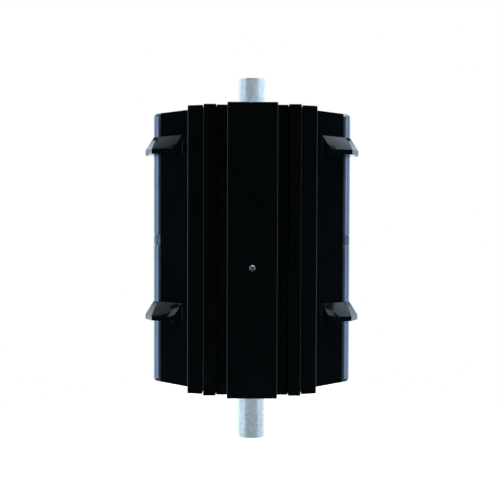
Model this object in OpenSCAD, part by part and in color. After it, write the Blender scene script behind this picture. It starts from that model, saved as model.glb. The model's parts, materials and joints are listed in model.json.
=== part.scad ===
// Vertical axis turbine: a closed drum rotor that turns on a fixed pipe mast.
// Millimetres, +Z up along the mast, front of the drum towards -Y.
// The origin is the centre of the mast's foot. One module per piece.

/* [Mast] */
// Outside diameter of the mast pipe
mast_od = 48.3; // [42.4:0.1:57.9]
// Wall of the mast pipe
mast_wall = 3.2; // [2.6:0.1:4.5]
// Mast standing out below the drum
foot_len = 98; // [90:1:200]
// Mast standing out above the drum
head_len = 61; // [55:1:200]
// Depth of the lower retaining groove below the drum
foot_groove_drop = 27; // [24:1:60]
// Height of the upper retaining groove above the drum
head_groove_rise = 13; // [8:1:14]
// Drilled cross hole near the head of the mast
cross_hole_d = 8.5; // [5:0.5:12]
// Height of the cross hole above the drum's top
cross_hole_rise = 22; // [20:1:40]

/* [Drum] */
// Height of the drum
body_h = 475; // [380:1:600]
// Side of the drum's square core, which stands on edge to the front
core_side = 249.6; // [240:0.1:300]
// Sheet thickness of panels, slats and spines
sheet_t = 3; // [2:0.1:4]
// Diameter of the two corner tubes
corner_tube_d = 31.4; // [26:0.1:37.6]
// Wall of the corner tubes
corner_tube_wall = 3; // [2:0.1:4]
// Drop of the end plates below the rim of the drum
end_recess = 12; // [6:1:30]
// Thickness of the end plates
end_plate_t = 4; // [3:0.5:8]

/* [Spine and slats] */
// Width of the front and rear spine
spine_w = 81; // [70:1:90]
// How far the spine's face stands in front of the core's corner
spine_lead = -0.5; // [-4:0.5:20]
// Width of the inner slat
inner_slat_w = 17.6; // [14:0.1:22]
// Height of the inner slat's face over the core at its inner edge
inner_slat_rise = 4.9; // [4:0.1:12]
// Width of the middle slat
middle_slat_w = 20.8; // [16:0.1:26]
// Height of the middle slat's face over the core at its inner edge
middle_slat_rise = 31.9; // [26:0.1:40]
// Width of the outer slat
outer_slat_w = 25; // [20:0.1:30]
// Height of the outer slat's face over the core at its inner edge
outer_slat_rise = 40.6; // [36:0.1:50]
// How far the outer slat's face falls back towards its outer edge
outer_slat_lean = 8; // [0:1:12]
// Gap between spine, inner slat and middle slat
slat_gap = 0.4; // [0.3:0.1:1]
// Open slot between the middle and the outer slat
louvre_gap = 2; // [1:0.1:3]
// Width of the feet by which slats and spines sit on the core
foot_w = 10; // [6:1:12]
// Height of the spine's screw above the drum's bottom
spine_screw_rise = 210; // [150:1:260]

/* [Lugs] */
// Height of a lug
lug_h = 31.5; // [24:0.5:40]
// Height of the upright lip under the lug's slope
lug_lip = 8.5; // [6:0.5:12]
// How far a lug's end faces stand out from the wings, along X
lug_end_run = 14; // [8:1:20]
// Half width of a lug at its shoulders
lug_shoulder = 39; // [24:1:44]
// Half width of a lug's flat nose
lug_nose = 7.5; // [6.5:0.5:12]
// How far a lug stands out beyond the core's side corner
lug_proud = 12; // [6:0.5:24]
// Distance of the shoulders from the nose, along X
lug_chamfer = 14; // [6:0.5:16]
// How far the lug's upper edge runs from the side corner
lug_root = 55.5; // [50:0.5:60]
// Bottom of the upper lugs below the drum's top
upper_lug_drop = 73.5; // [60:0.5:90]
// Distance between the bottoms of the upper and the lower lugs
lug_pitch = 290; // [230:1:330]

/* [Corner clip] */
// Height of the clip in the corner tube
clip_h = 17; // [10:1:30]
// Gap above and below the clip
clip_gap = 1.6; // [1:0.1:3]
// Depth of the clip's seat in the tube
clip_depth = 1.4; // [0.8:0.1:1.6]
// Middle of the clip below the drum's top
clip_drop = 223; // [180:1:260]

/* [Bearings] */
// Wall of the sleeves between mast and bearings
sleeve_wall = 3.35; // [2.5:0.05:6]
// Radial section of the ball bearings
bearing_section = 17.5; // [17:0.5:20]
// Width of the ball bearings
bearing_w = 18; // [16:1:22]
// Diameter of a ball
ball_d = 10.8; // [9:0.1:11]
// Balls in a bearing
ball_count = 12; // [8:1:14]

/* [Hubs and spiders] */
// Wall of the bearing housing
hub_wall = 11; // [8:1:14]
// Reach of the hub's flange beyond its housing
flange_reach = 19; // [16:1:22]
// Thickness of flange, spider and magnet carrier
plate_t = 8; // [6:1:10]
// Depth of the hub below its spider
hub_h = 32; // [30:1:40]
// Width of a spider's arm
arm_w = 40; // [30:1:46]
// Bolts that hold a hub to its spider
hub_bolts_n = 8; // [4:4:8]
// Shank diameter of a hub bolt
hub_bolt_d = 8; // [6:1:8]

/* [Generator] */
// Air between the magnet yoke and the posts
yoke_gap = 7.8; // [4:0.1:10]
// Wall of the magnet yoke
yoke_wall = 7; // [5:0.5:8]
// Height of the magnet yoke
yoke_h = 60; // [50:1:80]
// Thickness of a magnet
magnet_t = 8; // [5:0.5:9]
// Number of magnets
magnet_n = 20; // [12:2:24]
// Air gap between magnets and stator
air_gap = 1; // [0.6:0.1:1.5]
// Number of stator teeth
tooth_n = 18; // [12:3:18]
// Stack height of the stator
stack_h = 40; // [30:1:46]
// Wall of the stator hub's boss
stator_boss_wall = 9.85; // [8:0.05:12]
// Reach of the stator hub's disc beyond its boss
stator_web = 26; // [22:1:28]

/* [Hidden] */

$fn = 72;
eps = 0.01;                // overshoot of a cut
over = 1;                  // overshoot where there is room for more
fit = 0.05;                // radial play of pieces that slide on each other
hole_play = 0.2;           // radial play of a screw in its hole
far = 400;                 // half size of a cutting block

LEFT = -1;
RIGHT = 1;
FRONT = -1;
REAR = 1;

drum_z0 = foot_len;
drum_z1 = foot_len + body_h;
mast_len = drum_z1 + head_len;
mast_r = mast_od / 2;
bore_r = mast_r - mast_wall;
foot_groove_z = foot_len - foot_groove_drop;
head_groove_z = drum_z1 + head_groove_rise;

// retaining rings and shaft collars
ring_t = 1.6;              // thickness of a retaining ring
ring_out = 2.6;            // how far a ring stands out of the mast
ring_opening = 6;          // slot that lets a ring spread
groove_play = 0.15;
groove_w = ring_t + groove_play;
groove_depth = 1;
collar_wall = 13.85;
collar_r = mast_r + collar_wall;
collar_h = 14;
collar_gap = 0.2;          // play between a collar and its ring
upper_collar_z = head_groove_z - collar_gap - collar_h;
lower_collar_z = foot_groove_z + groove_w + collar_gap;
grub_d = 6;
grub_key_r = 1.6;
grub_key_depth = 2;
collar_grub_sink = 1;      // how far a grub screw lies below its surface
sleeve_grub_sink = 0.5;

// core of the drum: a square on edge, its faces at core_half from the axis
core_half = core_side / 2;
core_tip = core_half * sqrt(2);
panel_start = 12;          // distance of a panel's edge from the front plane
spine_d = core_tip + spine_lead;
lug_reach = core_tip + lug_proud;
tube_r = corner_tube_d / 2;
tube_setback = 2;          // how far the tube stays inside the core's corner
tube_x = core_tip - tube_setback - tube_r;
corner_end_r = 6.5;        // rounding of the tube's closed ends
post_t = 4;
post_leg = 24;             // run of a post's leg along X or Y
side_web_x = tube_x - tube_r;
front_web_setback = 26.5;  // how far the front post's web lies inside the core's corner
front_web_y = core_tip - front_web_setback;
end_plate_tongue = 8;      // how far an end plate runs past the front post's web
end_hole_gap = 5.85;       // the collars cover this gap round the mast
end_hole_r = mast_r + end_hole_gap;
frame_z0 = drum_z0 + end_recess + end_plate_t;
frame_z1 = drum_z1 - end_recess - end_plate_t;

// plan of the slats: inner edge, outer edge, depth at each
inner_x0 = spine_w / 2 + slat_gap;
inner_x1 = inner_x0 + inner_slat_w;
middle_x0 = inner_x1 + slat_gap;
middle_x1 = middle_x0 + middle_slat_w;
outer_x0 = middle_x1 + louvre_gap;
outer_x1 = outer_x0 + outer_slat_w;
inner_slat_d = core_tip - inner_x0 + inner_slat_rise;
middle_slat_d = core_tip - middle_x0 + middle_slat_rise;
outer_slat_d = core_tip - outer_x0 + outer_slat_rise;

// fasteners
m5_r = 2.5;
m6_r = 3;
button_r = 4.9;            // head of a spine screw
button_h = 2.7;
button_rim = button_h / 2; // the rest of the head's height is its dome
button_dome_r = (pow(button_r, 2) + pow(button_h - button_rim, 2)) / (2 * (button_h - button_rim));
button_key_r = 3.46;
button_key_depth = 1.8;
spine_screw_len = 22;
boss_r = 7;
spine_screw_z = drum_z0 + spine_screw_rise;
lug_head_r = 5;
lug_head_h = 4;
lug_head_sink = 1;         // how far a lug screw's head lies below the lug's tip
lug_head_x = lug_reach - lug_head_sink - lug_head_h;
lug_key_r = 2.9;
lug_key_depth = 2.5;

// lugs
lug_skin = 1;              // thickness of the slope's upper edge
lug_edge_t = 0.5;          // height of that edge

// levels
upper_lug_z = drum_z1 - upper_lug_drop;
lower_lug_z = upper_lug_z - lug_pitch;
lug_bolt_rise = lug_lip / 2;
clip_z = drum_z1 - clip_drop;

// bearings, all heights from the underside of the spider
bearing_bore = mast_od + 2 * sleeve_wall;
bearing_od = bearing_bore + 2 * bearing_section;
hub_r = bearing_od / 2 + hub_wall;
flange_r = hub_r + flange_reach;
race_t = 5.5;              // radial wall of a bearing race
race_play = 0.3;           // play between a ball and its groove
ball_pitch_r = (bearing_bore + bearing_od) / 4;
race_drop = 4;             // races below the spider's underside
race_z0 = -race_drop - bearing_w;
shoulder_h = 8;
shoulder_lip = 4.5;        // how far the shoulder stands out under the inner race
shoulder_r = bearing_bore / 2 + shoulder_lip;
hub_lip = 5;               // how far the hub reaches in under the outer race
lip_r = bearing_od / 2 - hub_lip;
seat_clear = 1;            // opening of the spider and the magnet carrier over the bearing
seat_clear_r = bearing_od / 2 + seat_clear;
sleeve_top = 4;
sleeve_z0 = race_z0 - shoulder_h;
bolt_offset = 1;           // bolt circle outwards from the middle of the flange
hub_bolt_pcr = (hub_r + flange_r) / 2 + bolt_offset;
bolt_hex_r = 0.8 * hub_bolt_d;
bolt_hole_r = hub_bolt_d / 2 + hole_play;
bolt_head_h = 5;
nut_h = 4;

// generator, from the top of the magnet carrier
carrier_z = lower_lug_z + plate_t;
yoke_z = carrier_z + plate_t;
stator_z = yoke_z + yoke_h / 2;
magnet_overhang = 2;       // how far a magnet runs past each end of the stack
magnet_h = stack_h + 2 * magnet_overhang;
yoke_r = core_half - sheet_t - post_t - yoke_gap;
magnet_r = yoke_r - yoke_wall - magnet_t;
magnet_fill = 0.875;       // share of the circle that the magnets cover
magnet_w = 2 * magnet_fill * magnet_r * sin(180 / magnet_n);
stator_r = magnet_r - air_gap;
stator_ring_t = 12;
tooth_w = 12;
tooth_fill = 0.765;        // share of the stator's edge that the tooth tips cover
tooth_tip_w = 2 * tooth_fill * stator_r * sin(180 / tooth_n);
tooth_tip_t = 4;
coil_t = 4.6;
coil_gap = 0.3;
stator_boss_r = mast_r + stator_boss_wall;
stator_bore_r = stator_boss_r + stator_web;
stator_disc_t = 12;
coil_back_gap = 1.5;       // from a coil to the stack's ring
coil_tip_gap = 0.6;        // from a coil to its tooth's tip
coil_x0 = stator_bore_r + stator_ring_t + coil_back_gap;
coil_x1 = stator_r - tooth_tip_t - coil_tip_gap;
boss_rise = 5;             // how far the stator's boss stands above the yoke
stator_boss_z1 = yoke_z + yoke_h + boss_rise;
grommet_r = 7;
grommet_wall = 2;
grommet_neck_r = grommet_r - grommet_wall;
grommet_hole_r = grommet_neck_r - grommet_wall;
grommet_rise = 18;         // lead's hole above the stator's boss
grommet_z = stator_boss_z1 + grommet_rise;

// ---------------------------------------------------------------- helpers

// Puts a piece drawn at +X, +Y into the wanted quarter of the drum
module quarter(side, face)
  mirror([side == LEFT ? 1 : 0, 0, 0])
  mirror([0, face == FRONT ? 1 : 0, 0])
  children();

module at_z(z)
  translate([0, 0, z])
  children();

// Full height extrusion of a plan drawn in the quarter +X, +Y
module drum_extrude(side, face, z0 = drum_z0, z1 = drum_z1)
  quarter(side, face)
  at_z(z0)
  linear_extrude(z1 - z0)
  children();

module ring(r_out, r_in, h)
  difference() {
    cylinder(r = r_out, h = h);
    at_z(-eps) cylinder(r = r_in, h = h + 2 * eps);
  }

// Cylinder along +X that starts at x
module rod_x(x, r, length)
  translate([x, 0, 0])
  rotate([0, 90, 0])
  cylinder(r = r, h = length);

// Cylinder along +Y that starts at y
module rod_y(y, r, length)
  translate([0, y, 0])
  rotate([-90, 0, 0])
  cylinder(r = r, h = length);

module spin_copies(n)
  for (i = [0 : n - 1])
    rotate([0, 0, i * 360 / n])
    children();

// Plan of the core's outside, grown by g at each face
module core_plan(g = 0)
  rotate([0, 0, 45])
  square(2 * (core_half + g), center = true);

module corner_tube_plan(g = 0)
  translate([tube_x, 0])
  circle(r = tube_r + g);

// ---------------------------------------------------------------- mast

module mast_tube()
  color("silver")
  difference() {
    cylinder(r = mast_r, h = mast_len);
    at_z(-over) cylinder(r = bore_r, h = mast_len + 2 * over);
    at_z(foot_groove_z) groove_cut();
    at_z(head_groove_z) groove_cut();
    at_z(drum_z1 + cross_hole_rise) rod_y(-mast_od, cross_hole_d / 2, 2 * mast_od);
    at_z(grommet_z) rod_y(0, grommet_neck_r, mast_od);
  }

module groove_cut()
  ring(mast_r + over, mast_r - groove_depth, groove_w);

module retaining_rings()
  color("dimgray")
  for (z = [foot_groove_z, head_groove_z])
    at_z(z + (groove_w - ring_t) / 2)
    difference() {
      ring(mast_r + ring_out, mast_r - groove_depth + fit, ring_t);
      translate([0, -ring_opening / 2, -eps]) cube([far, ring_opening, ring_t + 2 * eps]);
    }

module collar(z0)
  at_z(z0)
  difference() {
    ring(collar_r, mast_r + fit, collar_h);
    at_z(collar_h / 2) rod_y(0, grub_d / 2, far);
  }

module upper_collar()
  color("gray")
  collar(upper_collar_z);

module lower_collar()
  color("gray")
  collar(lower_collar_z);

// Sleeve that carries a bearing's inner race on the mast
module sleeve(spider_z)
  at_z(spider_z)
  difference() {
    union() {
      at_z(sleeve_z0) cylinder(r = shoulder_r, h = shoulder_h);
      at_z(sleeve_z0) cylinder(r = bearing_bore / 2 - fit, h = sleeve_top - sleeve_z0);
    }
    at_z(sleeve_z0 - eps) cylinder(r = mast_r + fit, h = sleeve_top - sleeve_z0 + 2 * eps);
    at_z(sleeve_z0 + shoulder_h / 2) rod_y(0, grub_d / 2, far);
  }

module upper_sleeve()
  color("darkgray")
  sleeve(upper_lug_z);

module lower_sleeve()
  color("darkgray")
  sleeve(lower_lug_z);

// Socket grub screw along +Y, from the mast to radius r
module grub(z, r)
  at_z(z)
  difference() {
    rod_y(mast_r, grub_d / 2 - fit, r - mast_r);
    translate([0, r + eps, 0])
      rotate([90, 0, 0])
      cylinder(r = grub_key_r, h = grub_key_depth, $fn = 6);
  }

module grub_screws()
  color("black") {
    for (z = [upper_collar_z, lower_collar_z])
      grub(z + collar_h / 2, collar_r - collar_grub_sink);
    for (z = [upper_lug_z, lower_lug_z])
      grub(z + sleeve_z0 + shoulder_h / 2, shoulder_r - sleeve_grub_sink);
  }

// ---------------------------------------------------------------- bearings

module ball_groove()
  rotate_extrude()
  translate([ball_pitch_r, bearing_w / 2])
  circle(r = ball_d / 2 + race_play);

module inner_race(spider_z)
  at_z(spider_z + race_z0)
  difference() {
    ring(bearing_bore / 2 + race_t, bearing_bore / 2, bearing_w);
    ball_groove();
  }

module outer_race(spider_z)
  at_z(spider_z + race_z0)
  difference() {
    ring(bearing_od / 2, bearing_od / 2 - race_t, bearing_w);
    ball_groove();
  }

module balls(spider_z)
  at_z(spider_z + race_z0 + bearing_w / 2)
  spin_copies(ball_count)
  translate([ball_pitch_r, 0, 0])
  sphere(r = ball_d / 2);

module upper_inner_race()
  color("lightgray")
  inner_race(upper_lug_z);

module lower_inner_race()
  color("lightgray")
  inner_race(lower_lug_z);

module upper_outer_race()
  color("lightgray")
  outer_race(upper_lug_z);

module lower_outer_race()
  color("lightgray")
  outer_race(lower_lug_z);

module upper_balls()
  color("white")
  balls(upper_lug_z);

module lower_balls()
  color("white")
  balls(lower_lug_z);

// ---------------------------------------------------------------- hubs and spiders

module bolt_holes(h)
  spin_copies(hub_bolts_n)
  rotate([0, 0, 180 / hub_bolts_n])
  translate([hub_bolt_pcr, 0, -eps])
  cylinder(r = bolt_hole_r, h = h + 2 * eps);

module hub(spider_z)
  at_z(spider_z)
  difference() {
    union() {
      at_z(-hub_h) cylinder(r = hub_r, h = hub_h);
      at_z(-plate_t) cylinder(r = flange_r, h = plate_t);
    }
    at_z(-hub_h - eps) cylinder(r = lip_r, h = hub_h + over);
    at_z(race_z0) cylinder(r = bearing_od / 2 + fit, h = far);
    at_z(-plate_t) bolt_holes(plate_t);
  }

module upper_hub()
  color("darkgray")
  hub(upper_lug_z);

module lower_hub()
  color("darkgray")
  hub(lower_lug_z);

// Ring with four arms that reach the webs of the posts
module spider(spider_z)
  at_z(spider_z)
  difference() {
    union() {
      cylinder(r = flange_r, h = plate_t);
      translate([-side_web_x + post_t, -arm_w / 2, 0])
        cube([2 * (side_web_x - post_t), arm_w, plate_t]);
      translate([-arm_w / 2, -front_web_y + post_t, 0])
        cube([arm_w, 2 * (front_web_y - post_t), plate_t]);
    }
    at_z(-eps) cylinder(r = seat_clear_r, h = plate_t + 2 * eps);
    bolt_holes(plate_t);
  }

module upper_spider()
  color("gray")
  spider(upper_lug_z);

module lower_spider()
  color("gray")
  spider(lower_lug_z);

// Bolts through flange and spider; the lower set also holds the magnet carrier
module hub_bolt_set(spider_z, grip)
  at_z(spider_z)
  spin_copies(hub_bolts_n)
  rotate([0, 0, 180 / hub_bolts_n])
  translate([hub_bolt_pcr, 0, 0]) {
    at_z(-plate_t - bolt_head_h) cylinder(r = bolt_hex_r, h = bolt_head_h, $fn = 6);
    at_z(-plate_t - over) cylinder(r = hub_bolt_d / 2, h = grip + plate_t + over);
    at_z(grip) cylinder(r = bolt_hex_r, h = nut_h, $fn = 6);
  }

module hub_bolts()
  color("silver") {
    hub_bolt_set(upper_lug_z, plate_t);
    hub_bolt_set(lower_lug_z, 2 * plate_t);
  }

// ---------------------------------------------------------------- generator

module magnet_carrier()
  color("dimgray")
  at_z(carrier_z)
  difference() {
    ring(yoke_r, seat_clear_r, plate_t);
    bolt_holes(plate_t);
  }

module magnet_yoke()
  color("slategray")
  at_z(yoke_z)
  ring(yoke_r, yoke_r - yoke_wall, yoke_h);

module magnets()
  color("lightsteelblue")
  at_z(stator_z - magnet_h / 2)
  spin_copies(magnet_n)
  intersection() {
    ring(yoke_r - yoke_wall, magnet_r, magnet_h);
    translate([0, -magnet_w / 2, 0]) cube([far, magnet_w, magnet_h]);
  }

module stator_hub()
  color("darkgray")
  difference() {
    union() {
      at_z(lower_lug_z + sleeve_top)
        cylinder(r = stator_boss_r, h = stator_boss_z1 - lower_lug_z - sleeve_top);
      at_z(stator_z - stator_disc_t / 2)
        cylinder(r = stator_bore_r, h = stator_disc_t);
    }
    cylinder(r = mast_r + fit, h = mast_len);
  }

module stator_core()
  color("dimgray")
  at_z(stator_z - stack_h / 2)
  difference() {
    intersection() {
      cylinder(r = stator_r, h = stack_h);
      union() {
        cylinder(r = stator_bore_r + stator_ring_t, h = stack_h);
        spin_copies(tooth_n) {
          translate([0, -tooth_w / 2, 0]) cube([far, tooth_w, stack_h]);
          translate([stator_r - tooth_tip_t, -tooth_tip_w / 2, 0]) cube([far, tooth_tip_w, stack_h]);
        }
      }
    }
    at_z(-eps) cylinder(r = stator_bore_r, h = stack_h + 2 * eps);
  }

// One winding round each tooth
module stator_coils()
  color("chocolate")
  at_z(stator_z)
  spin_copies(tooth_n)
  translate([coil_x0, 0, 0])
  rotate([0, 90, 0])
  linear_extrude(coil_x1 - coil_x0)
  difference() {
    square([stack_h + 2 * (coil_gap + coil_t), tooth_w + 2 * (coil_gap + coil_t)], center = true);
    square([stack_h + 2 * coil_gap, tooth_w + 2 * coil_gap], center = true);
  }

// Rubber bush where the generator's lead passes into the mast
module cable_grommet()
  color("black")
  at_z(grommet_z)
  difference() {
    intersection() {
      union() {
        rod_y(0, grommet_neck_r - fit, mast_r + grommet_wall);
        rod_y(mast_r - over, grommet_r, grommet_wall + over);
      }
      difference() {
        at_z(-far) cylinder(r = far, h = 2 * far);
        at_z(-far) cylinder(r = bore_r + 2 * fit, h = 2 * far);
        difference() {
          at_z(-grommet_r - over) ring(mast_r, bore_r, 2 * (grommet_r + over));
          rod_y(0, grommet_neck_r - fit, far);
        }
      }
    }
    rod_y(0, grommet_hole_r, far);
  }

// ---------------------------------------------------------------- frame of the drum

module end_plate(z0)
  at_z(z0)
  difference() {
    intersection() {
      linear_extrude(end_plate_t) core_plan(-sheet_t - fit);
      translate([-side_web_x, -front_web_y - end_plate_tongue, 0])
        cube([2 * side_web_x, 2 * (front_web_y + end_plate_tongue), end_plate_t]);
    }
    at_z(-eps) cylinder(r = end_hole_r, h = end_plate_t + 2 * eps);
  }

module upper_end_plate()
  color("gray")
  end_plate(frame_z1);

module lower_end_plate()
  color("gray")
  end_plate(drum_z0 + end_recess);

// Plan of a post at +X: two legs on the panels and a web between them
module post_plan(web)
  intersection() {
    union() {
      difference() {
        core_plan(-sheet_t - fit);
        core_plan(-sheet_t - fit - post_t);
      }
      translate([web - post_t, -far]) square([post_t, 2 * far]);
    }
    translate([web - post_leg, -far]) square([post_leg, 2 * far]);
    core_plan(-sheet_t - fit);
  }

module side_post(side)
  mirror([side == LEFT ? 1 : 0, 0, 0])
  difference() {
    at_z(frame_z0) linear_extrude(frame_z1 - frame_z0) post_plan(side_web_x);
    for (z = [upper_lug_z, lower_lug_z])
      at_z(z + lug_bolt_rise) rod_x(side_web_x - post_t - over, m6_r, post_t + 2 * over);
  }

module face_post(face)
  mirror([0, face == FRONT ? 1 : 0, 0])
  difference() {
    union() {
      at_z(frame_z0)
        linear_extrude(frame_z1 - frame_z0)
        rotate([0, 0, 90])
        post_plan(front_web_y);
      at_z(spine_screw_z)
        rod_y(front_web_y - over, boss_r, spine_d - sheet_t - front_web_y + over);
    }
    at_z(spine_screw_z) rod_y(front_web_y - post_t - over, m5_r, far);
  }

module front_post()
  color("dimgray")
  face_post(FRONT);

module rear_post()
  color("dimgray")
  face_post(REAR);

module left_post()
  color("dimgray")
  side_post(LEFT);

module right_post()
  color("dimgray")
  side_post(RIGHT);

// ---------------------------------------------------------------- skin of the drum

// Flat panel at 45 degrees, from beside the spine's middle to the corner tube
module panel(side, face)
  color([0.03, 0.03, 0.035])
  drum_extrude(side, face)
  difference() {
    intersection() {
      difference() {
        core_plan(0);
        core_plan(-sheet_t);
      }
      translate([panel_start, 0]) square([tube_x - panel_start, far]);
    }
    corner_tube_plan(fit);
  }

module front_left_panel() panel(LEFT, FRONT);
module front_right_panel() panel(RIGHT, FRONT);
module rear_left_panel() panel(LEFT, REAR);
module rear_right_panel() panel(RIGHT, REAR);

// Points of an arc about c, from angle a0 to a1
function arc(c, r, a0, a1, n = 8) =
  [for (i = [0 : n]) c + r * [cos(a0 + (a1 - a0) * i / n), sin(a0 + (a1 - a0) * i / n)]];

// Distance of the core's surface from the side plane, at x from the front plane
function core_y(x, g = 0) = core_tip + (fit + g) * sqrt(2) - x;

// Right half of the spine's outline: face, round edge, side, foot on the panel
function spine_half() = let (x1 = spine_w / 2, x0 = x1 - sheet_t, x2 = x0 - foot_w) concat(
  arc([x0, spine_d - sheet_t], sheet_t, 90, 0),
  [
    [x1, core_y(x1)],
    [x2, core_y(x2)],
    [x2, core_y(x2, sheet_t)],
    [x0, core_y(x0, sheet_t)],
    [x0, spine_d - sheet_t],
  ]
);

// Right half of the closed end's outline
function spine_end_half() = let (x1 = spine_w / 2) concat(
  arc([x1 - sheet_t, spine_d - sheet_t], sheet_t, 90, 0),
  [[x1, core_y(x1)], [panel_start, core_y(panel_start)]]
);

// Polygon of a right half and its mirror image
module both_halves(half) {
  last = len(half) - 1;
  polygon(concat(half, [for (i = [last : -1 : 0]) [-half[i][0], half[i][1]]]));
}

// Repeats a closed end at the drum's bottom and top
module both_ends(side, face) {
  drum_extrude(side, face, drum_z0, drum_z0 + sheet_t) children();
  drum_extrude(side, face, drum_z1 - sheet_t, drum_z1) children();
}

module spine(face)
  color([0.02, 0.02, 0.025])
  difference() {
    union() {
      drum_extrude(RIGHT, face) both_halves(spine_half());
      both_ends(RIGHT, face) both_halves(spine_end_half());
    }
    at_z(spine_screw_z) quarter(RIGHT, face) rod_y(spine_d - 2 * sheet_t, m5_r + hole_play, far);
  }

module front_spine() spine(FRONT);
module rear_spine() spine(REAR);

// Plan of a slat: face with a round inner edge, side with a round outer edge, foot on the panel
module slat_plan(x0, x1, d0, d1) {
  edge_r = sheet_t / 2;
  side_x = x1 - sheet_t;
  foot_x = side_x - foot_w;
  polygon(concat(
    arc([x0 + edge_r, d0 - edge_r], edge_r, 270, 90),
    arc([side_x, d1 - sheet_t], sheet_t, 90, 0),
    [
      [x1, core_y(x1)],
      [foot_x, core_y(foot_x)],
      [foot_x, core_y(foot_x, sheet_t)],
      [side_x, core_y(side_x, sheet_t)],
      [side_x, d1 - sheet_t],
    ]
  ));
}

// Plan of a slat's closed ends
module slat_end_plan(x0, x1, d0, d1) {
  edge_r = sheet_t / 2;
  polygon(concat(
    [[x0, core_y(x0)]],
    arc([x0 + edge_r, d0 - edge_r], edge_r, 180, 90),
    arc([x1 - sheet_t, d1 - sheet_t], sheet_t, 90, 0),
    [[x1, core_y(x1)]]
  ));
}

module slat(side, face, x0, x1, d0, d1)
  color([0.03, 0.03, 0.035]) {
    drum_extrude(side, face) slat_plan(x0, x1, d0, d1);
    both_ends(side, face) slat_end_plan(x0, x1, d0, d1);
  }

module inner_slat(side, face)
  slat(side, face, inner_x0, inner_x1, inner_slat_d, inner_slat_d);

module middle_slat(side, face)
  slat(side, face, middle_x0, middle_x1, middle_slat_d, middle_slat_d);

module outer_slat(side, face)
  slat(side, face, outer_x0, outer_x1, outer_slat_d, outer_slat_d - outer_slat_lean);

module front_left_inner_slat() inner_slat(LEFT, FRONT);
module front_left_middle_slat() middle_slat(LEFT, FRONT);
module front_left_outer_slat() outer_slat(LEFT, FRONT);
module front_right_inner_slat() inner_slat(RIGHT, FRONT);
module front_right_middle_slat() middle_slat(RIGHT, FRONT);
module front_right_outer_slat() outer_slat(RIGHT, FRONT);
module rear_left_inner_slat() inner_slat(LEFT, REAR);
module rear_left_middle_slat() middle_slat(LEFT, REAR);
module rear_left_outer_slat() outer_slat(LEFT, REAR);
module rear_right_inner_slat() inner_slat(RIGHT, REAR);
module rear_right_middle_slat() middle_slat(RIGHT, REAR);
module rear_right_outer_slat() outer_slat(RIGHT, REAR);

// Button head screw that holds a spine to its post
module spine_screw(face)
  mirror([0, face == FRONT ? 1 : 0, 0])
  at_z(spine_screw_z)
  difference() {
    union() {
      rod_y(spine_d - spine_screw_len, m5_r - fit, spine_screw_len);
      translate([0, spine_d, 0])
        rotate([-90, 0, 0])
        rotate_extrude()
        intersection() {
          translate([0, button_h - button_dome_r]) circle(r = button_dome_r);
          square([button_r, button_h]);
        }
    }
    translate([0, spine_d + button_h + eps, 0])
      rotate([90, 0, 0])
      cylinder(r = button_key_r, h = button_key_depth, $fn = 6);
  }

module spine_screws()
  color("silver") {
    spine_screw(FRONT);
    spine_screw(REAR);
  }

// ---------------------------------------------------------------- corners and lugs

// Profile of the corner tube from its axis out, with round closed ends
module corner_tube_profile()
  polygon(concat(
    [[0, 0]],
    arc([tube_r - corner_end_r, corner_end_r], corner_end_r, 270, 360),
    arc([tube_r - corner_end_r, body_h - corner_end_r], corner_end_r, 0, 90),
    [
      [0, body_h],
      [0, body_h - corner_tube_wall],
      [tube_r - corner_tube_wall, body_h - corner_tube_wall],
      [tube_r - corner_tube_wall, corner_tube_wall],
      [0, corner_tube_wall],
    ]
  ));

// Round tube that closes a side corner, with a seat for the clip
module corner_tube(side)
  color([0.25, 0.3, 0.38])
  mirror([side == LEFT ? 1 : 0, 0, 0])
  difference() {
    translate([tube_x, 0, drum_z0]) rotate_extrude() corner_tube_profile();
    at_z(clip_z - clip_h / 2 - clip_gap)
      linear_extrude(clip_h + 2 * clip_gap)
      clip_seat_plan(clip_depth);
    for (z = [upper_lug_z, lower_lug_z])
      at_z(z + lug_bolt_rise)
        rod_x(tube_x - tube_r - over, m6_r + hole_play, 2 * (tube_r + over));
  }

// Outer rim of the corner tube, to a depth, on the side that shows
module clip_seat_plan(depth)
  difference() {
    intersection() {
      corner_tube_plan(over);
      translate([tube_x, -far]) square([far, 2 * far]);
    }
    corner_tube_plan(-depth);
  }

module corner_clip(side)
  color([0.02, 0.02, 0.02])
  mirror([side == LEFT ? 1 : 0, 0, 0])
  at_z(clip_z - clip_h / 2)
  linear_extrude(clip_h)
  difference() {
    intersection() {
      corner_tube_plan();
      translate([tube_x, -far]) square([far, 2 * far]);
    }
    corner_tube_plan(-clip_depth + fit);
  }

module left_corner_tube() corner_tube(LEFT);
module right_corner_tube() corner_tube(RIGHT);
module left_corner_clip() corner_clip(LEFT);
module right_corner_clip() corner_clip(RIGHT);

// Hood shaped lug: its slope starts on the core and ends in an upright lip
module lug_top_plan()
  for (s = [-1, 1])
    polygon([
      [core_tip - lug_root, s * lug_root],
      [core_tip - lug_root + lug_skin, s * (lug_root + lug_skin)],
      [tube_x + tube_r * sin(45) + lug_skin, s * (tube_r * sin(45) + lug_skin)],
      [tube_x + tube_r + lug_skin, 0],
      [tube_x, 0],
    ]);

module lug_base_plan()
  for (s = [-1, 1])
    polygon([
      [core_tip - lug_root, 0],
      [core_tip - lug_root, s * lug_root],
      [core_tip - lug_root + lug_end_run, s * (lug_root + lug_skin)],
      [lug_reach - lug_chamfer, s * lug_shoulder],
      [lug_reach, s * lug_nose],
      [lug_reach, 0],
    ]);

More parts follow.
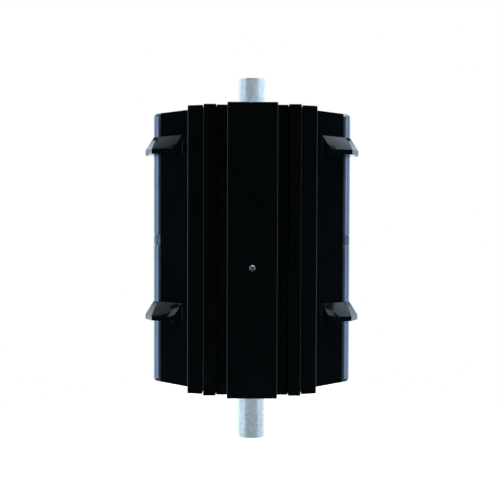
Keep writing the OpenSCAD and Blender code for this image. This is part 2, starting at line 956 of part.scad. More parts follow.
module lug(side, z0)
  color([0.1, 0.12, 0.15])
  mirror([side == LEFT ? 1 : 0, 0, 0])
  at_z(z0)
  difference() {
    hull() {
      at_z(lug_h - lug_edge_t) linear_extrude(lug_edge_t) lug_top_plan();
      linear_extrude(lug_lip) lug_base_plan();
    }
    at_z(-over) linear_extrude(lug_h + 2 * over) core_plan(fit);
    at_z(-over) linear_extrude(lug_h + 2 * over) corner_tube_plan(fit);
    at_z(lug_bolt_rise) rod_x(tube_x, m6_r + hole_play, far);
    at_z(lug_bolt_rise) rod_x(lug_head_x, lug_head_r + hole_play, far);
  }

module upper_left_lug() lug(LEFT, upper_lug_z);
module upper_right_lug() lug(RIGHT, upper_lug_z);
module lower_left_lug() lug(LEFT, lower_lug_z);
module lower_right_lug() lug(RIGHT, lower_lug_z);

// Screws from the lug's tip through the corner tube into the post
module lug_screw(side, z)
  mirror([side == LEFT ? 1 : 0, 0, 0])
  at_z(z + lug_bolt_rise)
  difference() {
    union() {
      rod_x(side_web_x - post_t, m6_r - fit, lug_head_x - side_web_x + post_t);
      rod_x(lug_head_x, lug_head_r, lug_head_h);
    }
    translate([lug_head_x + lug_head_h + eps, 0, 0])
      rotate([0, -90, 0])
      cylinder(r = lug_key_r, h = lug_key_depth, $fn = 6);
  }

module lug_screws()
  color("silver")
  for (side = [LEFT, RIGHT])
    for (z = [upper_lug_z, lower_lug_z])
      lug_screw(side, z);

mast_tube();
retaining_rings();
upper_collar();
lower_collar();
upper_sleeve();
lower_sleeve();
grub_screws();
upper_inner_race();
lower_inner_race();
upper_balls();
lower_balls();
stator_hub();
stator_core();
stator_coils();
cable_grommet();
upper_outer_race();
lower_outer_race();
upper_hub();
lower_hub();
upper_spider();
lower_spider();
hub_bolts();
magnet_carrier();
magnet_yoke();
magnets();
upper_end_plate();
lower_end_plate();
front_post();
rear_post();
left_post();
right_post();
front_left_panel();
front_right_panel();
rear_left_panel();
rear_right_panel();
front_spine();
rear_spine();
spine_screws();
front_left_inner_slat();
front_left_middle_slat();
front_left_outer_slat();
front_right_inner_slat();
front_right_middle_slat();
front_right_outer_slat();
rear_left_inner_slat();
rear_left_middle_slat();
rear_left_outer_slat();
rear_right_inner_slat();
rear_right_middle_slat();
rear_right_outer_slat();
left_corner_tube();
right_corner_tube();
left_corner_clip();
right_corner_clip();
upper_left_lug();
upper_right_lug();
lower_left_lug();
lower_right_lug();
lug_screws();
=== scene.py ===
# %% [markdown]
# A vertical axis turbine, part by part. The real object is a closed drum of glossy black sheet that turns
# on a galvanised pipe. Its machine parts come from a CAD frame, which is loaded first and never changed.
# Blender adds what a CAD kernel doesn't care about: pressed sheets with small round edges, the light band
# of a coated tube, and every surface finish. All lengths are in metres, and the turbine stands on its
# mast's foot at the origin, facing -Y.

import json
import math

import bpy
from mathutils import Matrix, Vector


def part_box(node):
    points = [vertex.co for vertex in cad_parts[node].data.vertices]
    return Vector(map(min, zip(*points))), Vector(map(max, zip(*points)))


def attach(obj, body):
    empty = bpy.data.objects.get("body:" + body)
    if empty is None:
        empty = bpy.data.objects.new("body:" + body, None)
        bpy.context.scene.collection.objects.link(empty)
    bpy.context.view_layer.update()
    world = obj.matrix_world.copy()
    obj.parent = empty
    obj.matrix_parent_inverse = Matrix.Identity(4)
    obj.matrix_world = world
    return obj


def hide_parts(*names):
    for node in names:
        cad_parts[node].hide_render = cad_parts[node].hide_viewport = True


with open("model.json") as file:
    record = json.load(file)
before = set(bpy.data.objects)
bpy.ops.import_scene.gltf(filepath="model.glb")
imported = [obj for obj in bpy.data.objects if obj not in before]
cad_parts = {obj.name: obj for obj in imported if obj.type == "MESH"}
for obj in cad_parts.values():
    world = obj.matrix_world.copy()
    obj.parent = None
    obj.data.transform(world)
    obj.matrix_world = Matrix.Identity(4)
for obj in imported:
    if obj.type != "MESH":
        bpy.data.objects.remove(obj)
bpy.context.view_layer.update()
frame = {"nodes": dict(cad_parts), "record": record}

# %% [markdown]
# The drum is the same in all four quarters, so each sheet is drawn once, in the quarter towards +X and +Y,
# and then copied by mirroring. These few sizes are read back from the frame, so the sheets follow it if it
# changes.

# %% Sizes of the drum
panel_low, panel_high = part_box("rear_right_panel")
spine_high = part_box("rear_spine")[1]
tube_low, tube_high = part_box("right_corner_tube")
DRUM_BOTTOM, DRUM_TOP = panel_low[2], panel_high[2]
PANEL_START = panel_low[0]
CORE_TIP = panel_low[0] + panel_high[1]
SHEET = 0.003
TUBE_R = (tube_high[0] - tube_low[0]) / 2
TUBE_X = (tube_high[0] + tube_low[0]) / 2
EDGE_ROUND = 0.0011
WELD = 0.00001
QUARTERS = {"front_left": (-1, -1), "front_right": (1, -1), "rear_left": (-1, 1), "rear_right": (1, 1)}
print("drum height", DRUM_TOP - DRUM_BOTTOM, "core corner", CORE_TIP, "tube radius", TUBE_R)


def core_y(x):
    """Depth of the core's outer face at x."""
    return CORE_TIP - x


# %% [markdown]
# Blender's operators work on whatever is selected, so each step starts by clearing the selection. The
# helpers below select an object, or the parts of its mesh that lie in a given place, as a hand would by
# clicking.

# %% Helpers that select
def take(obj):
    """Leaves only this object selected and active."""
    if bpy.context.object and bpy.context.object.mode != "OBJECT":
        bpy.ops.object.mode_set(mode="OBJECT")
    bpy.ops.object.select_all(action="DESELECT")
    obj.select_set(True)
    bpy.context.view_layer.objects.active = obj


def pick_faces(obj, wanted):
    """Selects the faces that the test accepts, in edit mode."""
    take(obj)
    bpy.ops.object.mode_set(mode="EDIT")
    bpy.ops.mesh.select_mode(type="FACE")
    bpy.ops.mesh.select_all(action="DESELECT")
    bpy.ops.object.mode_set(mode="OBJECT")
    for face in obj.data.polygons:
        face.select = bool(wanted(face))
    bpy.ops.object.mode_set(mode="EDIT")


def pick_points(obj, wanted):
    """Selects the mesh points that the test accepts, in edit mode."""
    take(obj)
    bpy.ops.object.mode_set(mode="EDIT")
    bpy.ops.mesh.select_mode(type="VERT")
    bpy.ops.mesh.select_all(action="DESELECT")
    bpy.ops.object.mode_set(mode="OBJECT")
    for point in obj.data.vertices:
        point.select = bool(wanted(point.co))
    bpy.ops.object.mode_set(mode="EDIT")


def apply_all(obj):
    """Applies the object's modifiers in order, and its place and scale."""
    take(obj)
    for modifier in list(obj.modifiers):
        bpy.ops.object.modifier_apply(modifier=modifier.name)
    bpy.ops.object.transform_apply(location=True, rotation=True, scale=True)


def recalculate(obj):
    """Points every face outwards."""
    take(obj)
    bpy.ops.object.mode_set(mode="EDIT")
    bpy.ops.mesh.select_all(action="SELECT")
    bpy.ops.mesh.normals_make_consistent(inside=False)
    bpy.ops.object.mode_set(mode="OBJECT")


# %% [markdown]
# A sheet part begins as its plan. One point is walked round the outline by extruding it from corner to
# corner, the loop is filled, and the face is pulled up to the drum's height. A bought profile would be cut
# the same way.

# %% Draw a plan and pull it up
def prism(name, outline, bottom, top):
    """A closed upright form; outline is its plan, corner by corner."""
    start = Vector((*outline[0], bottom))
    bpy.ops.object.select_all(action="DESELECT")
    bpy.ops.mesh.primitive_plane_add(size=SHEET, location=start)
    obj = bpy.context.object
    obj.name = obj.data.name = name
    bpy.ops.object.mode_set(mode="EDIT")
    bpy.ops.mesh.select_mode(type="VERT")
    bpy.ops.mesh.merge(type="CENTER")
    here = start
    for corner in outline[1:]:
        there = Vector((*corner, bottom))
        bpy.ops.mesh.extrude_region_move(TRANSFORM_OT_translate={"value": there - here})
        here = there
    bpy.ops.mesh.select_all(action="SELECT")
    bpy.ops.mesh.edge_face_add()
    bpy.ops.mesh.extrude_region_move(TRANSFORM_OT_translate={"value": (0, 0, top - bottom)})
    bpy.ops.object.mode_set(mode="OBJECT")
    bpy.ops.object.transform_apply(location=True)
    recalculate(obj)
    return obj


def round_edges(obj, width, segments=3, angle=35):
    """A small even round on every edge sharper than the angle."""
    bevel = obj.modifiers.new("round", "BEVEL")
    bevel.width = width
    bevel.segments = segments
    bevel.limit_method = "ANGLE"
    bevel.angle_limit = math.radians(angle)
    bevel.use_clamp_overlap = True
    apply_all(obj)
    bpy.ops.object.shade_smooth_by_angle(angle=math.radians(40))
    flat = obj.modifiers.new("flat faces stay flat", "WEIGHTED_NORMAL")
    flat.keep_sharp = True
    apply_all(obj)


def open_shell(obj, is_open):
    """Takes the open faces off a closed form and gives the rest the thickness of the sheet."""
    pick_faces(obj, is_open)
    bpy.ops.mesh.delete(type="FACE")
    bpy.ops.object.mode_set(mode="OBJECT")
    wall = obj.modifiers.new("wall", "SOLIDIFY")
    wall.thickness = SHEET
    wall.offset = -1
    wall.use_even_offset = True
    apply_all(obj)


def mirrored(obj, name, side, face):
    """A copy with its own mesh, turned over into another quarter."""
    take(obj)
    bpy.ops.object.duplicate(linked=False)
    copy = bpy.context.object
    copy.name = copy.data.name = name
    copy.scale = (side, face, 1)
    bpy.ops.object.transform_apply(scale=True)
    if side * face < 0:
        recalculate(copy)
    return copy


# %% [markdown]
# Finishes come next. Every finish is a node tree on Object coordinates, which are metres here, so a noise
# scale of 400 means features about 2.5 mm across. Values that are the same everywhere sit on the shader's
# own sockets; only what really varies, such as roughness, tint and relief, is wired.

# %% Helpers for finishes
def finish(name, color, roughness, metallic=0.0, **sockets):
    """A new material; returns it with its node tree, shader and object coordinates."""
    material = bpy.data.materials.new(name)
    material.use_nodes = True
    tree = material.node_tree
    shader = tree.nodes["Principled BSDF"]
    shader.inputs["Base Color"].default_value = (*color, 1)
    shader.inputs["Roughness"].default_value = roughness
    shader.inputs["Metallic"].default_value = metallic
    for socket, value in sockets.items():
        shader.inputs[socket.replace("_", " ")].default_value = value
    place = tree.nodes.new("ShaderNodeTexCoord").outputs["Object"]
    return material, tree, shader, place


def noise(tree, place, scale, detail=4.0, stretch=(1, 1, 1)):
    """Value noise, drawn out along an axis where the real marks run one way."""
    mapping = tree.nodes.new("ShaderNodeMapping")
    mapping.inputs["Scale"].default_value = stretch
    tree.links.new(place, mapping.inputs["Vector"])
    texture = tree.nodes.new("ShaderNodeTexNoise")
    texture.inputs["Scale"].default_value = scale
    texture.inputs["Detail"].default_value = detail
    tree.links.new(mapping.outputs["Vector"], texture.inputs["Vector"])
    return texture.outputs["Fac"]


def spread(tree, value, low, high, start=0.3, end=0.7):
    """Maps the middle of a noise onto a range of numbers."""
    remap = tree.nodes.new("ShaderNodeMapRange")
    remap.inputs["From Min"].default_value = start
    remap.inputs["From Max"].default_value = end
    remap.inputs["To Min"].default_value = low
    remap.inputs["To Max"].default_value = high
    tree.links.new(value, remap.inputs["Value"])
    return remap.outputs["Result"]


def tint(tree, value, stops):
    """Colours along a ramp; stops are (position, colour)."""
    ramp = tree.nodes.new("ShaderNodeValToRGB")
    first, last = stops[0], stops[-1]
    ramp.color_ramp.elements[0].position = first[0]
    ramp.color_ramp.elements[0].color = (*first[1], 1)
    ramp.color_ramp.elements[1].position = last[0]
    ramp.color_ramp.elements[1].color = (*last[1], 1)
    for position, color in stops[1:-1]:
        ramp.color_ramp.elements.new(position).color = (*color, 1)
    tree.links.new(value, ramp.inputs["Fac"])
    return ramp.outputs["Color"]


def relief(tree, shader, value, depth, strength=1.0):
    """Small height changes, as a bump."""
    bump = tree.nodes.new("ShaderNodeBump")
    bump.inputs["Distance"].default_value = depth
    bump.inputs["Strength"].default_value = strength
    tree.links.new(value, bump.inputs["Height"])
    tree.links.new(bump.outputs["Normal"], shader.inputs["Normal"])


# %% [markdown]
# The drum's skin is black powder coat with a deep gloss. A coat like this is never quite flat: it has a
# faint orange peel a couple of millimetres across, and dust dulls it a little in soft patches.

# %% Black coat
def black_coat(name, color, roughness, level):
    """Gloss coat with soft dull patches and a faint orange peel."""
    material, tree, shader, place = finish(name, color, roughness, Specular_IOR_Level=level)
    dull = noise(tree, place, 9, 5)
    tree.links.new(spread(tree, dull, roughness * 0.8, roughness * 1.35), shader.inputs["Roughness"])
    shade = tint(tree, noise(tree, place, 30, 6), [(0.3, color), (0.75, [c * 1.6 for c in color])])
    tree.links.new(shade, shader.inputs["Base Color"])
    relief(tree, shader, noise(tree, place, 380, 2), 0.00002, 0.35)
    return material


skin_coat = black_coat("skin_coat", (0.0008, 0.0012, 0.0014), 0.09, 0.2)
slat_coat = black_coat("slat_coat", (0.0012, 0.0016, 0.0018), 0.12, 0.25)
lug_coat = black_coat("lug_coat", (0.0012, 0.0018, 0.0026), 0.13, 0.3)

# %% [markdown]
# Hot dip galvanising freezes into flat crystals, the spangle. Each crystal reflects a little differently,
# so a Voronoi pattern drives tint and roughness cell by cell, and a low noise adds the runs that dipping
# leaves.

# %% Galvanised pipe
galvanised, tree, shader, place = finish("galvanised", (0.78, 0.87, 0.93), 0.3, 0.45)
crystals = tree.nodes.new("ShaderNodeTexVoronoi")
crystals.inputs["Scale"].default_value = 240
tree.links.new(place, crystals.inputs["Vector"])
cell = tree.nodes.new("ShaderNodeSeparateColor")
tree.links.new(crystals.outputs["Color"], cell.inputs["Color"])
zinc_shades = [(0.0, (0.68, 0.79, 0.86)), (0.5, (0.80, 0.89, 0.94)), (1.0, (0.88, 0.95, 0.98))]
tree.links.new(tint(tree, cell.outputs["Red"], zinc_shades), shader.inputs["Base Color"])
tree.links.new(spread(tree, cell.outputs["Green"], 0.40, 0.50, 0, 1), shader.inputs["Roughness"])
relief(tree, shader, noise(tree, place, 60, 6, (1, 1, 0.35)), 0.0004, 0.4)


# %% [markdown]
# The corner tubes have a slate coat with metal flake in it. The flake is far finer than a millimetre, so
# it only breaks up the gloss, and the coat's shade drifts slowly along the tube.

# %% Corner tube coat
tube_coat, tree, shader, place = finish("tube_coat", (0.16, 0.20, 0.26), 0.30, 0.85)
flake = noise(tree, place, 1600, 2)
tree.links.new(spread(tree, flake, 0.26, 0.34), shader.inputs["Roughness"])
slate_shades = [(0.3, (0.14, 0.17, 0.23)), (0.7, (0.17, 0.22, 0.29))]
tree.links.new(tint(tree, noise(tree, place, 14, 4, (1, 1, 0.3)), slate_shades), shader.inputs["Base Color"])

# %% [markdown]
# The machine parts share a few shop finishes. Turned and ground faces carry fine marks; castings and
# plates are softer. One function makes them, with the direction and the scale of the marks as its
# settings.


# %% Shop metals
MARK_DEPTH = 0.00002


def shop_metal(name, color, roughness, marks=700, stretch=(1, 1, 1)):
    """Bare or plated metal; marks is the scale of its grain, stretch draws the grain out."""
    material, tree, shader, place = finish(name, color, roughness, 1.0)
    grain = noise(tree, place, marks, 3, stretch)
    tree.links.new(spread(tree, grain, roughness * 0.75, roughness * 1.3), shader.inputs["Roughness"])
    stain = tint(tree, noise(tree, place, 22, 5), [(0.3, [c * 0.82 for c in color]), (0.7, color)])
    tree.links.new(stain, shader.inputs["Base Color"])
    relief(tree, shader, grain, MARK_DEPTH, 0.5)
    return material


zinc_plated = shop_metal("zinc_plated", (0.58, 0.60, 0.63), 0.32, 900, (1, 1, 6))
ground_steel = shop_metal("ground_steel", (0.62, 0.63, 0.65), 0.18, 1100, (1, 1, 8))
raw_aluminium = shop_metal("raw_aluminium", (0.70, 0.71, 0.73), 0.38, 500, (1, 8, 1))
stainless = shop_metal("stainless", (0.74, 0.76, 0.79), 0.36, 1200)
blackened = shop_metal("blackened", (0.035, 0.034, 0.033), 0.4)
nickel = shop_metal("nickel", (0.66, 0.62, 0.55), 0.16, 800)
yoke_steel = shop_metal("yoke_steel", (0.38, 0.39, 0.41), 0.4, 600, (1, 1, 5))

# %% [markdown]
# A stator is a stack of punched sheets, half a millimetre thick each, and a winding is a bundle of round
# wires. Both are drawn as bands by a wave texture along the height, which gives the relief and the colour
# together. The dark bands lie in the grooves of the relief: on the stack they are the dark joints between
# sheets deepened by painted shade, and on the winding they are painted shade in the creases between wires.


# %% Layered finishes
BAND_DEPTH = 0.0002
BANDS_PER_UNIT = 3.2


def layered(name, joint_and_groove_shade, light, roughness, metallic, pitch, bend=0.0):
    """Bands along the height, one for each pitch in metres; bend makes them wander."""
    material, tree, shader, place = finish(name, light, roughness, metallic)
    wave = tree.nodes.new("ShaderNodeTexWave")
    wave.bands_direction = "Z"
    wave.inputs["Scale"].default_value = 1 / (pitch * BANDS_PER_UNIT)
    wave.inputs["Distortion"].default_value = bend
    tree.links.new(place, wave.inputs["Vector"])
    # The dark colour follows the grooves of the relief: painted shade, over the joints between sheets on a
    # stack.
    tree.links.new(tint(tree, wave.outputs["Fac"], [(0.1, joint_and_groove_shade), (0.7, light)]), shader.inputs["Base Color"])
    relief(tree, shader, wave.outputs["Fac"], BAND_DEPTH, 0.6)
    return material


# The winding's dark bands are painted shade in the creases between its round wires; the stack's are its dark
# joints with painted shade in them.
laminations = layered("laminations", (0.09, 0.09, 0.10), (0.27, 0.28, 0.30), 0.4, 0.9, 0.0006)
copper_wire = layered("copper_wire", (0.25, 0.08, 0.03), (0.76, 0.34, 0.15), 0.25, 0.9, 0.0012, bend=0.6)

# %% [markdown]
# Two mouldings are left. The cable bush is dull rubber with a coarse grain, and the corner clips have a
# slate coat near to that of the tubes they sit on, with a grain of their own.

# %% Rubber and clip
rubber, tree, shader, place = finish("rubber", (0.012, 0.012, 0.012), 0.75)
relief(tree, shader, noise(tree, place, 900, 4), 0.00008, 0.6)
clip_satin, tree, shader, place = finish("clip_satin", (0.08, 0.10, 0.13), 0.34, 0.8)
relief(tree, shader, noise(tree, place, 1500, 3), 0.00004, 0.5)

# %% [markdown]
# Every part of the frame names the finish of its surface, its slot. One table gives each slot its
# material, so all parts are dressed in one loop, and the sheets that are made later are dressed the same
# way.


# %% Finishes on the machine parts
def dress(obj, material):
    """Gives the object this material and no other."""
    obj.data.materials.clear()
    obj.data.materials.append(material)


FINISH_OF_SLOT = {
    "galvanised_steel": galvanised,
    "blackened_steel": blackened,
    "plated_collar": zinc_plated,
    "bearing_steel": ground_steel,
    "raw_aluminium": raw_aluminium,
    "lamination_steel": laminations,
    "copper_winding": copper_wire,
    "black_rubber": rubber,
    "yoke_steel": yoke_steel,
    "nickel_magnet": nickel,
    "stainless_fastener": stainless,
    "lug_moulding": lug_coat,
    "corner_tube_coat": tube_coat,
    "clip_moulding": clip_satin,
    "gloss_black_coat": skin_coat,
}
for part in frame["record"]["subparts"]:
    dress(frame["nodes"][part["node"]], FINISH_OF_SLOT[part["material_slot"]])
print("finishes on", len(frame["nodes"]), "frame parts")


# %% [markdown]
# The wings are flat boards at 45 degrees. On the real drum they are plain sheet cut to length, so a board
# with the sheet's thickness and softly broken edges is all they need; the broken edges catch the light.

# %% Wing panels
def place_piece(obj, node, material):
    """Dresses a finished piece and lets it stand in for a part of the frame, on the rotor."""
    dress(obj, material)
    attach(obj, "rotor")
    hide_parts(node)


WING_TUCK = 0.17
inner_step = SHEET * math.sqrt(2)
panel_end = TUBE_X + TUBE_R * WING_TUCK
board = prism(
    "panel_master",
    [
        (PANEL_START, core_y(PANEL_START)),
        (panel_end, core_y(panel_end)),
        (panel_end - inner_step / 2, core_y(panel_end) - inner_step / 2),
        (PANEL_START, core_y(PANEL_START) - inner_step),
    ],
    DRUM_BOTTOM,
    DRUM_TOP,
)
round_edges(board, EDGE_ROUND * 0.8)
for quarter, (side, face) in QUARTERS.items():
    panel = mirrored(board, quarter + "_wing", side, face)
    place_piece(panel, quarter + "_panel", skin_coat)
bpy.data.objects.remove(board)
print("wing panels", panel_end, core_y(panel_end))

# %% [markdown]
# Each slat is a pressed tray: a face, one side that runs back to the wing, and two closed ends. It starts
# as a full prism. The faces that are open on the real tray are taken off, and a Solidify modifier gives
# the rest its wall. A Bevel modifier then rounds the folds, which on a pressed sheet are never sharp.

# %% Slats
OUTER_LEAN = 0.008


def is_back(face):
    """The side that lies on the core: it looks inwards along the diagonal."""
    return face.normal.x < -0.3 and face.normal.y < -0.3


def slat_master(kind, lean):
    """The slat of one quarter; lean is how much shallower its outer edge is than its inner one."""
    low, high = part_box("rear_right_" + kind + "_slat")
    x0, x1, depth = low[0], high[0], high[1]
    outline = [(x0, core_y(x0)), (x0, depth), (x1, depth - lean), (x1, core_y(x1))]
    tray = prism(kind + "_master", outline, DRUM_BOTTOM, DRUM_TOP)
    open_shell(tray, lambda face: is_back(face) or face.normal.x < -0.9)
    round_edges(tray, EDGE_ROUND)
    print(kind, "slat from", round(x0, 4), "to", round(x1, 4), "depth", round(depth, 4))
    return tray


for kind, lean in (("inner", 0.0), ("middle", 0.0), ("outer", OUTER_LEAN)):
    tray = slat_master(kind, lean)
    for quarter, (side, face) in QUARTERS.items():
        slat = mirrored(tray, quarter + "_" + kind + "_tray", side, face)
        place_piece(slat, quarter + "_" + kind + "_slat", slat_coat)
    bpy.data.objects.remove(tray)

# %% [markdown]
# The spine is the widest pressing and the one nearest to the eye. It is a shallow box over the core's
# corner, with a rounder edge than the slats have, because its upper and lower rims are seen against the
# light.

# %% Spines
half = spine_high[0]
depth = spine_high[1]
outline = [
    (-half, core_y(half)),
    (-half, depth),
    (half, depth),
    (half, core_y(half)),
    (PANEL_START, core_y(PANEL_START)),
    (-PANEL_START, core_y(PANEL_START)),
]
box = prism("spine_master", outline, DRUM_BOTTOM, DRUM_TOP)
open_shell(box, lambda face: face.normal.y < -0.3)
round_edges(box, EDGE_ROUND * 1.6, 4)
for name, face in (("front", -1), ("rear", 1)):
    spine = mirrored(box, name + "_spine_box", 1, face)
    place_piece(spine, name + "_spine", slat_coat)
bpy.data.objects.remove(box)
print("spine half width", half, "depth", depth)

# %% [markdown]
# The corner tubes are round, so each is a lathe shape: half of its profile is drawn as a line and spun
# about the tube's own axis. The profile holds the round closed ends and the shallow seat of the clip, with
# a narrow gap above and below the clip.

# %% Corner tubes
END_ROUND = 0.0065
SEAT_DEPTH = 0.0014
SEAT_LIP = 0.0004
CLIP_GAP = 0.0016
clip_low, clip_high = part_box("right_corner_clip")


def arc(cx, cz, radius, start, end, steps=6):
    """Points of a round corner in the profile's plane."""
    angles = [math.radians(start + (end - start) * i / steps) for i in range(steps + 1)]
    return [(cx + radius * math.cos(a), cz + radius * math.sin(a)) for a in angles]


def tube_profile():
    """Half of the tube's section, from the axis at its foot to the axis at its top."""
    low_end = arc(TUBE_R - END_ROUND, DRUM_BOTTOM + END_ROUND, END_ROUND, -90, 0)
    high_end = arc(TUBE_R - END_ROUND, DRUM_TOP - END_ROUND, END_ROUND, 0, 90)
    seat_low, seat_high = clip_low[2] - CLIP_GAP, clip_high[2] + CLIP_GAP
    floor = TUBE_R - SEAT_DEPTH
    seat = [
        (TUBE_R, seat_low - SEAT_LIP),
        (TUBE_R - SEAT_LIP, seat_low),
        (floor, seat_low),
        (floor, seat_high),
        (TUBE_R - SEAT_LIP, seat_high),
        (TUBE_R, seat_high + SEAT_LIP),
    ]
    return [(0, DRUM_BOTTOM)] + low_end + seat + high_end + [(0, DRUM_TOP)]


def lathe(name, profile, centre_x, steps):
    """Spins a line, given as (radius, height), right round an upright axis through centre_x."""
    start = Vector((centre_x + profile[0][0], 0, profile[0][1]))
    bpy.ops.object.select_all(action="DESELECT")
    bpy.ops.mesh.primitive_plane_add(size=SHEET, location=start)
    obj = bpy.context.object
    obj.name = obj.data.name = name
    bpy.ops.object.mode_set(mode="EDIT")
    bpy.ops.mesh.select_mode(type="VERT")
    bpy.ops.mesh.merge(type="CENTER")
    here = start
    for radius, height in profile[1:]:
        there = Vector((centre_x + radius, 0, height))
        bpy.ops.mesh.extrude_region_move(TRANSFORM_OT_translate={"value": there - here})
        here = there
    bpy.ops.mesh.select_all(action="SELECT")
    bpy.ops.mesh.spin(steps=steps, angle=math.tau, center=(centre_x, 0, 0), axis=(0, 0, 1))
    bpy.ops.mesh.select_all(action="SELECT")
    bpy.ops.mesh.remove_doubles(threshold=WELD)
    bpy.ops.mesh.normals_make_consistent(inside=False)
    bpy.ops.object.mode_set(mode="OBJECT")
    bpy.ops.object.transform_apply(location=True)
    bpy.ops.object.shade_smooth_by_angle(angle=math.radians(35))
    return obj


tube = lathe("tube_master", tube_profile(), TUBE_X, 64)
for name, side in (("left", -1), ("right", 1)):
    band = mirrored(tube, name + "_tube_band", side, 1)
    place_piece(band, name + "_corner_tube", tube_coat)
bpy.data.objects.remove(tube)
print("corner tube at", TUBE_X)

# %% [markdown]
# The clip is a short half ring that snaps into the tube's seat. Its small section is a flat plate, turned
# upright and spun through half a turn. The spin runs clockwise, from the front round the outside to the
# rear.

# %% Corner clips
CLIP_PLAY = 0.0001
CLIP_SUNK = 0.00015
CLIP_ROUND = 0.0003
section_in, section_out = TUBE_R - SEAT_DEPTH + CLIP_PLAY, TUBE_R - CLIP_SUNK
clip_z = (clip_low[2] + clip_high[2]) / 2
half_clip = (clip_high[2] - clip_low[2]) / 2


def half_ring(name):
    """The clip's strip, on the side towards +X."""
    bpy.ops.object.select_all(action="DESELECT")
    centre = (TUBE_X, -(section_in + section_out) / 2, clip_z)
    bpy.ops.mesh.primitive_plane_add(size=1, location=centre, rotation=(0, math.pi / 2, 0))
    obj = bpy.context.object
    obj.name = obj.data.name = name
    obj.scale = (2 * half_clip, section_out - section_in, 1)
    bpy.ops.object.transform_apply(location=True, rotation=True, scale=True)
    bpy.ops.object.mode_set(mode="EDIT")
    bpy.ops.mesh.select_all(action="SELECT")
    bpy.ops.mesh.spin(steps=32, angle=-math.pi, center=(TUBE_X, 0, 0), axis=(0, 0, 1))
    bpy.ops.mesh.select_all(action="SELECT")
    bpy.ops.mesh.remove_doubles(threshold=WELD)
    bpy.ops.object.mode_set(mode="OBJECT")
    recalculate(obj)
    round_edges(obj, CLIP_ROUND, 2, 50)
    return obj


strip = half_ring("clip_master")
print("clip spans", [round(v, 4) for v in strip.bound_box[0]], [round(v, 4) for v in strip.bound_box[6]])
for name, side in (("left", -1), ("right", 1)):
    clip = mirrored(strip, name + "_clip_strip", side, 1)
    place_piece(clip, name + "_corner_clip", clip_satin)
bpy.data.objects.remove(strip)

# %% [markdown]
# A lug is a small hood that wraps the drum's side corner. Its flat underside and upright lip are a plain
# plan pulled up a little. At each end the plan stands out from the wing by a short end face. Above the lip
# the same outline is pulled up in a few equal steps, and at each step its outer corners are moved closer
# to the wing and to the tube. The slope between them is slightly twisted, and the steps keep it smooth:
# one tall face would fold along its diagonal.

# %% Lugs
lug_low, lug_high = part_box("upper_right_lug")
LUG_H = lug_high[2] - lug_low[2]
LIP_H = 0.0085
CHAMFER = 0.014
LUG_END_RUN = 0.014
LUG_SHOULDER = 0.039
LUG_NOSE = 0.0075
LUG_ROOT = 0.0555
LUG_ROUND = 0.0007
SLOPE_STEPS = 5
TOP_SKIN = 0.0006
GAP = 0.0002
reach = lug_high[0]
# Where the hood meets the corner tube, as angles for tube_point.
TOP_SHOULDER, TOP_NOSE = 58, 20
SEAT_FROM, SEAT_TO = 25, 55


def tube_point(angle, grow=0.0):
    """A point on the corner tube, angle measured from the drum's side towards its face."""
    a = math.radians(angle)
    return (TUBE_X + (TUBE_R + grow) * math.cos(a), (TUBE_R + grow) * math.sin(a))


def between(start, stop, steps):
    """Points on a straight line, both ends included."""
    return [tuple(Vector(start).lerp(Vector(stop), i / steps)) for i in range(steps + 1)]


def other_side(pair):
    """The same two points over the other wing."""
    return tuple((x, -y) for x, y in pair)


def lug_rings():
    """Pairs of base and top corners, from one wing round the nose to the other, and back along the seat."""
    foot = (CORE_TIP - LUG_ROOT, LUG_ROOT + GAP)
    end = (CORE_TIP - LUG_ROOT + LUG_END_RUN, LUG_ROOT + TOP_SKIN)
    shoulder = (reach - CHAMFER, LUG_SHOULDER)
    root = (CORE_TIP - LUG_ROOT, LUG_ROOT + TOP_SKIN)
    low_side = [foot] + between(end, shoulder, SLOPE_STEPS) + [(reach, LUG_NOSE)]
    slope = between(root, tube_point(TOP_SHOULDER, TOP_SKIN), SLOPE_STEPS)
    high_side = [foot] + slope + [tube_point(TOP_NOSE, TOP_SKIN)]
    outside = list(zip(low_side, high_side))
    seat = [tube_point(SEAT_FROM, GAP), tube_point(SEAT_TO, GAP), (panel_end, core_y(panel_end) + GAP)]
    inside = [(point, point) for point in seat]
    outer = outside + [other_side(pair) for pair in reversed(outside)]
    inner = [other_side(pair) for pair in reversed(inside)] + inside
    return outer + inner


def make_lug(name, bottom):
    """The hood of the right side, standing on this height."""
    rings = lug_rings()
    lug = prism(name, [low for low, high in rings], bottom, bottom + LIP_H)
    rise = (LUG_H - LIP_H) / SLOPE_STEPS
    for step in range(1, SLOPE_STEPS + 1):
        pick_faces(lug, lambda face: face.normal.z > 0.9)
        bpy.ops.mesh.extrude_region_move(TRANSFORM_OT_translate={"value": (0, 0, rise)})
        bpy.ops.object.mode_set(mode="OBJECT")
        level = bottom + LIP_H + step * rise
        for low, high in rings:
            shift = (Vector(high) - Vector(low)) / SLOPE_STEPS
            if shift.length < WELD / 10:
                continue
            here = Vector(low) + shift * (step - 1)
            spot = Vector((here.x, here.y, level))
            pick_points(lug, lambda co: (co - spot).length < WELD)
            bpy.ops.transform.translate(value=(shift.x, shift.y, 0))
            bpy.ops.object.mode_set(mode="OBJECT")
    recalculate(lug)
    round_edges(lug, LUG_ROUND, 3, 20)
    return lug


for level in ("upper", "lower"):
    hood = make_lug("lug_master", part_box(level + "_right_lug")[0][2])
    for name, side in (("left", -1), ("right", 1)):
        lug = mirrored(hood, level + "_" + name + "_hood", side, 1)
        place_piece(lug, level + "_" + name + "_lug", lug_coat)
    bpy.data.objects.remove(hood)
print("lugs reach", reach, "height", LUG_H)

# %% [markdown]
# The set is a small product studio: a pale round floor, softboxes at both sides, high up and behind, and
# one overhead. A glossy black object is lit by what it mirrors. The space round the camera is kept dark,
# so the flat faces stay black. The side softboxes start at about 60 degrees from the camera, where only
# round edges see them, and the high pair is there for the slopes of the lugs, which look upwards.

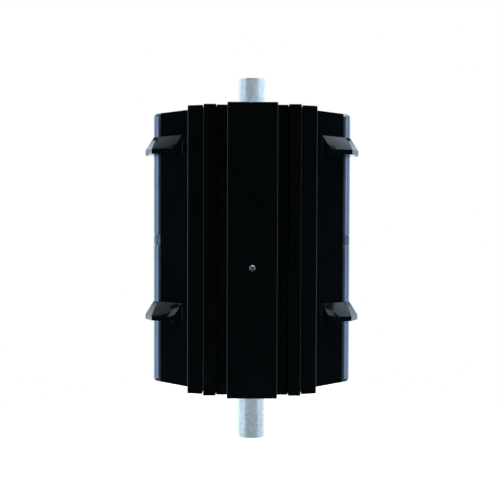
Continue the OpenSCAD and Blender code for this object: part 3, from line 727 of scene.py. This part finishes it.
# %% Floor
bpy.ops.object.select_all(action="DESELECT")
FLOOR_RADIUS, FLOOR_DROP = 0.6, 0.0005
bpy.ops.mesh.primitive_circle_add(
    vertices=96, radius=FLOOR_RADIUS, fill_type="NGON", location=(0, 0, -FLOOR_DROP)
)
floor = bpy.context.object
floor.name = "floor"
floor.visible_glossy = False
floor_paint, tree, shader, place = finish("floor_paint", (0.93, 0.93, 0.93), 0.9, Specular_IOR_Level=0.0)
shader.inputs["Emission Color"].default_value = (1, 1, 1, 1)
shader.inputs["Emission Strength"].default_value = 0.8
dress(floor, floor_paint)

# %% Room light
world = bpy.data.worlds.new("studio")
bpy.context.scene.world = world
world.use_nodes = True
nodes, links = world.node_tree.nodes, world.node_tree.links
room = nodes["Background"]
room.inputs["Color"].default_value = (0.45, 0.85, 1, 1)
room.inputs["Strength"].default_value = 0.05
sweep = nodes.new("ShaderNodeBackground")
sweep.inputs["Color"].default_value = (1, 1, 1, 1)
sweep.inputs["Strength"].default_value = 1.0
seen = nodes.new("ShaderNodeLightPath")
mix = nodes.new("ShaderNodeMixShader")
links.new(seen.outputs["Is Camera Ray"], mix.inputs["Fac"])
links.new(room.outputs["Background"], mix.inputs[1])
links.new(sweep.outputs["Background"], mix.inputs[2])
links.new(mix.outputs["Shader"], nodes["World Output"].inputs["Surface"])

# %% [markdown]
# Each softbox is an area light that faces the drum. Its direction is given as an angle from the camera's
# side, so the dark gap round the camera, and the one at right angles that the flat wings mirror, are easy
# to see in the numbers.


# %% Softboxes
LIGHT_DISTANCE = 2.2
AIM_HEIGHT = 0.42
COOL = (0.72, 0.86, 1.0)
WHITE = (1.0, 1.0, 1.0)


def area_light(name, spot, aim_height, width, height, power, color=WHITE):
    """A rectangular light that looks at the turbine's axis and isn't seen itself."""
    light = bpy.data.lights.new(name, "AREA")
    light.shape = "RECTANGLE"
    light.size = width
    light.size_y = height
    light.energy = power
    light.color = color
    lamp = bpy.data.objects.new(name, light)
    lamp.location = spot
    lamp.rotation_euler = (Vector((0, 0, aim_height)) - spot).to_track_quat("-Z", "Y").to_euler()
    lamp.visible_camera = False
    bpy.context.collection.objects.link(lamp)


def softbox(name, angle, width, height, power, level=AIM_HEIGHT, color=WHITE):
    """A softbox round the turbine; angle 0 is on the camera's side, 180 straight behind."""
    a = math.radians(angle)
    spot = Vector((math.sin(a) * LIGHT_DISTANCE, -math.cos(a) * LIGHT_DISTANCE, level))
    area_light(name, spot, AIM_HEIGHT, width, height, power, color)


softbox("side_left", -72, 0.85, 2.6, 18, color=COOL)
softbox("side_right", 72, 0.85, 2.6, 16, color=COOL)
softbox("rear_left", -128, 2.3, 2.6, 36, color=COOL)
softbox("rear_right", 128, 2.3, 2.6, 32, color=COOL)
softbox("back", 180, 2.2, 2.6, 24)
softbox("high_left", -105, 2.6, 1.6, 10, level=2.9, color=COOL)
softbox("high_right", 105, 2.6, 1.6, 28, level=2.9, color=COOL)
area_light("overhead", Vector((0.5, -0.7, 2.4)), 0.3, 2.2, 1.0, 40)

# %% [markdown]
# The camera stands well back, a little above the drum's middle, and looks straight at the spine. A long
# lens keeps the upright edges parallel.

# %% Camera
DISTANCE = 1.684
EYE_HEIGHT = 0.3795
AZIMUTH = math.radians(-0.34)
TILT, ROLL, PAN = math.radians(1.615), math.radians(-0.2), math.radians(0.107)
lens = bpy.data.cameras.new("camera")
lens.sensor_width = 36
lens.lens = 68.0
camera = bpy.data.objects.new("camera", lens)
camera.location = (math.sin(AZIMUTH) * DISTANCE, -math.cos(AZIMUTH) * DISTANCE, EYE_HEIGHT)
camera.rotation_euler = (math.radians(90) - TILT, ROLL, AZIMUTH + PAN)
bpy.context.collection.objects.link(camera)
bpy.context.scene.camera = camera
bpy.context.scene.view_settings.view_transform = "Standard"
